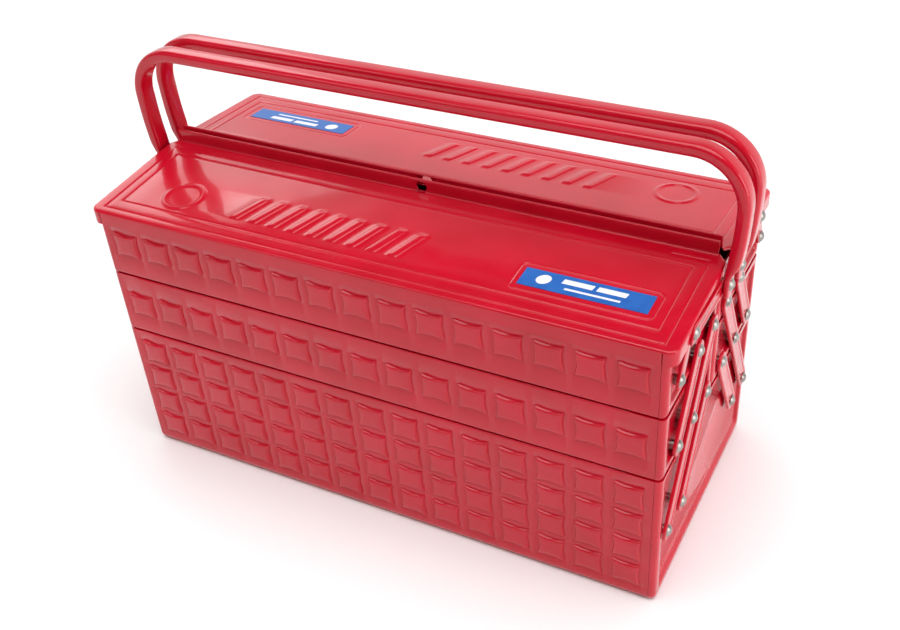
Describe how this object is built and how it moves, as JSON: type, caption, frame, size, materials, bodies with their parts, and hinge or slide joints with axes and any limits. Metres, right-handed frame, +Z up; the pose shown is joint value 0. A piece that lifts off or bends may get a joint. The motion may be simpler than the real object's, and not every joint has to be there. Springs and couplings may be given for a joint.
{
  "type": "cantilever toolbox",
  "caption": "Red sheet-steel cantilever toolbox with a deep base, tiered trays that swing out on riveted links, two sloping lids and twin fold-down bow handles.",
  "frame": {"origin": "middle of the base's underside", "axes": "+X along the length to the right-hand end, -Y to the front lid, +Z up"},
  "size_m": [0.456, 0.201, 0.3],
  "materials": {
    "red_enamel": "gloss",
    "plated_rivet": "satin plated",
    "blue_label": "gloss print"
  },
  "bodies": {
    "base": {"base_shell": "red_enamel", "base_end_left": "red_enamel", "base_end_right": "red_enamel", "base_rivets": "plated_rivet"},
    "front_long_links": {"front_long_link_left": "red_enamel", "front_long_link_right": "red_enamel"},
    "front_lower_links": {"front_lower_link_left": "red_enamel", "front_lower_link_right": "red_enamel"},
    "front_upper_links": {"front_upper_link_left": "red_enamel", "front_upper_link_right": "red_enamel"},
    "front_mid_tray": {"front_mid_tray_shell": "red_enamel", "front_mid_tray_end_left": "red_enamel", "front_mid_tray_end_right": "red_enamel", "front_mid_tray_rivets": "plated_rivet"},
    "front_top_tray": {"front_top_tray_shell": "red_enamel", "front_top_tray_end_left": "red_enamel", "front_top_tray_end_right": "red_enamel", "front_top_tray_rivets": "plated_rivet"},
    "front_lid": {"front_lid_panel": "red_enamel", "front_lid_label": "blue_label", "front_lid_hinge_arm_left": "red_enamel", "front_lid_hinge_arm_right": "red_enamel", "front_handle_bracket_left": "red_enamel", "front_handle_bracket_right": "red_enamel", "front_lid_arm_rivets": "plated_rivet", "front_handle_rivets": "plated_rivet"},
    "front_handle": {"front_handle": "red_enamel"},
    "rear_long_links": {"rear_long_link_left": "red_enamel", "rear_long_link_right": "red_enamel"},
    "rear_lower_links": {"rear_lower_link_left": "red_enamel", "rear_lower_link_right": "red_enamel"},
    "rear_upper_links": {"rear_upper_link_left": "red_enamel", "rear_upper_link_right": "red_enamel"},
    "rear_mid_tray": {"rear_mid_tray_shell": "red_enamel", "rear_mid_tray_end_left": "red_enamel", "rear_mid_tray_end_right": "red_enamel", "rear_mid_tray_rivets": "plated_rivet"},
    "rear_top_tray": {"rear_top_tray_shell": "red_enamel", "rear_top_tray_end_left": "red_enamel", "rear_top_tray_end_right": "red_enamel", "rear_top_tray_rivets": "plated_rivet"},
    "rear_lid": {"rear_lid_panel": "red_enamel", "rear_lid_label": "blue_label", "rear_lid_hinge_arm_left": "red_enamel", "rear_lid_hinge_arm_right": "red_enamel", "rear_handle_bracket_left": "red_enamel", "rear_handle_bracket_right": "red_enamel", "rear_lid_arm_rivets": "plated_rivet", "rear_handle_rivets": "plated_rivet"},
    "rear_handle": {"rear_handle": "red_enamel"}
  },
  "joints": [
    {"name": "front_tray_swing", "type": "hinge", "parent": "base", "child": "front_long_links", "pos_m": [0, -0.0854, 0.0584], "axis": [1, 0, 0], "range_deg": [0, 62.4]},
    {"name": "front_mid_tray_level", "type": "hinge", "parent": "front_long_links", "child": "front_mid_tray", "pos_m": [0, -0.046, 0.1234], "axis": [1, 0, 0], "range_deg": [-62.5, 0]},
    {"name": "front_top_tray_level", "type": "hinge", "parent": "front_long_links", "child": "front_top_tray", "pos_m": [0, -0.0142, 0.1758], "axis": [1, 0, 0], "range_deg": [-62.5, 0]},
    {"name": "front_lower_link_swing", "type": "hinge", "parent": "base", "child": "front_lower_links", "pos_m": [0, -0.0566, 0.0584], "axis": [1, 0, 0], "range_deg": [0, 62.5]},
    {"name": "front_upper_link_swing", "type": "hinge", "parent": "front_mid_tray", "child": "front_upper_links", "pos_m": [0, -0.0754, 0.1238], "axis": [1, 0, 0], "range_deg": [0, 62.5]},
    {"name": "front_lid_hinge", "type": "hinge", "parent": "front_top_tray", "child": "front_lid", "pos_m": [0, -0.085, 0.184], "axis": [1, 0, 0], "range_deg": [0, 95]},
    {"name": "front_handle_hinge", "type": "hinge", "parent": "front_lid", "child": "front_handle", "pos_m": [0, -0.012, 0.207], "axis": [1, 0, 0], "range_deg": [0, 76]},
    {"name": "rear_tray_swing", "type": "hinge", "parent": "base", "child": "rear_long_links", "pos_m": [0, 0.0854, 0.0584], "axis": [-1, 0, 0], "range_deg": [0, 62.4]},
    {"name": "rear_mid_tray_level", "type": "hinge", "parent": "rear_long_links", "child": "rear_mid_tray", "pos_m": [0, 0.046, 0.1234], "axis": [-1, 0, 0], "range_deg": [-62.5, 0]},
    {"name": "rear_top_tray_level", "type": "hinge", "parent": "rear_long_links", "child": "rear_top_tray", "pos_m": [0, 0.0142, 0.1758], "axis": [-1, 0, 0], "range_deg": [-62.5, 0]},
    {"name": "rear_lower_link_swing", "type": "hinge", "parent": "base", "child": "rear_lower_links", "pos_m": [0, 0.0566, 0.0584], "axis": [-1, 0, 0], "range_deg": [0, 62.5]},
    {"name": "rear_upper_link_swing", "type": "hinge", "parent": "rear_mid_tray", "child": "rear_upper_links", "pos_m": [0, 0.0754, 0.1238], "axis": [-1, 0, 0], "range_deg": [0, 62.5]},
    {"name": "rear_lid_hinge", "type": "hinge", "parent": "rear_top_tray", "child": "rear_lid", "pos_m": [0, 0.085, 0.184], "axis": [-1, 0, 0], "range_deg": [0, 95]},
    {"name": "rear_handle_hinge", "type": "hinge", "parent": "rear_lid", "child": "rear_handle", "pos_m": [0, 0.012, 0.207], "axis": [-1, 0, 0], "range_deg": [0, 76]}
  ],
  "couplings": [
    {"joint": "front_mid_tray_level", "follows": "front_tray_swing", "ratio": -1},
    {"joint": "front_top_tray_level", "follows": "front_tray_swing", "ratio": -1},
    {"joint": "front_lower_link_swing", "follows": "front_tray_swing", "ratio": 1},
    {"joint": "front_upper_link_swing", "follows": "front_tray_swing", "ratio": 1},
    {"joint": "rear_mid_tray_level", "follows": "rear_tray_swing", "ratio": -1},
    {"joint": "rear_top_tray_level", "follows": "rear_tray_swing", "ratio": -1},
    {"joint": "rear_lower_link_swing", "follows": "rear_tray_swing", "ratio": 1},
    {"joint": "rear_upper_link_swing", "follows": "rear_tray_swing", "ratio": 1}
  ]
}
